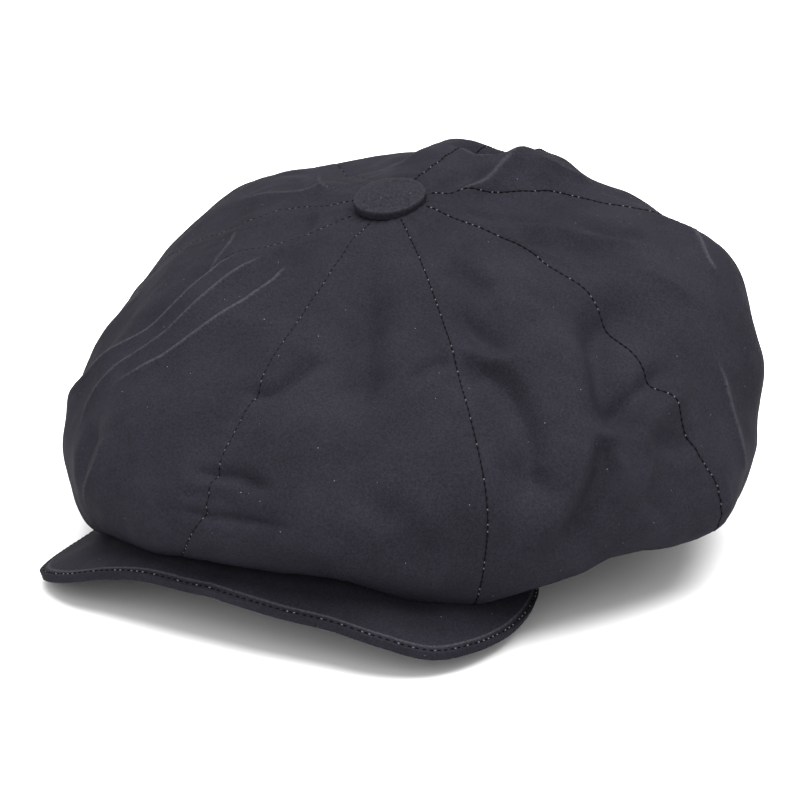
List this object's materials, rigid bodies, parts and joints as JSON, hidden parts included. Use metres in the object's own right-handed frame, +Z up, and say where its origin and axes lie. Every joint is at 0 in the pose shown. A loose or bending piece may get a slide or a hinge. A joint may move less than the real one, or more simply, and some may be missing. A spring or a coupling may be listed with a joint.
{
  "type": "waxed newsboy cap",
  "caption": "Full waxed cotton newsboy cap: puffed gored crown slumped over a short stiff peak, covered button on top, plain sweatband inside.",
  "frame": {"origin": "on the surface that the cap rests on, under the middle of its whole outline", "axes": "+Z up, -Y towards the front where the peak is, +X towards the wearer's left"},
  "size_m": [0.2872, 0.2954, 0.1508],
  "materials": {
    "crown_cloth": "matte waxed cotton, near-black navy grey",
    "peak_cloth": "matte waxed cotton over a stiff board",
    "band_cloth": "plain dark cotton band"
  },
  "bodies": {
    "root": {"panel_front_left": "crown_cloth", "panel_left_front": "crown_cloth", "panel_left_back": "crown_cloth", "panel_back_left": "crown_cloth", "panel_back_right": "crown_cloth", "panel_right_back": "crown_cloth", "panel_right_front": "crown_cloth", "panel_front_right": "crown_cloth", "button": "crown_cloth", "peak": "peak_cloth", "sweatband": "band_cloth"}
  },
  "joints": []
}
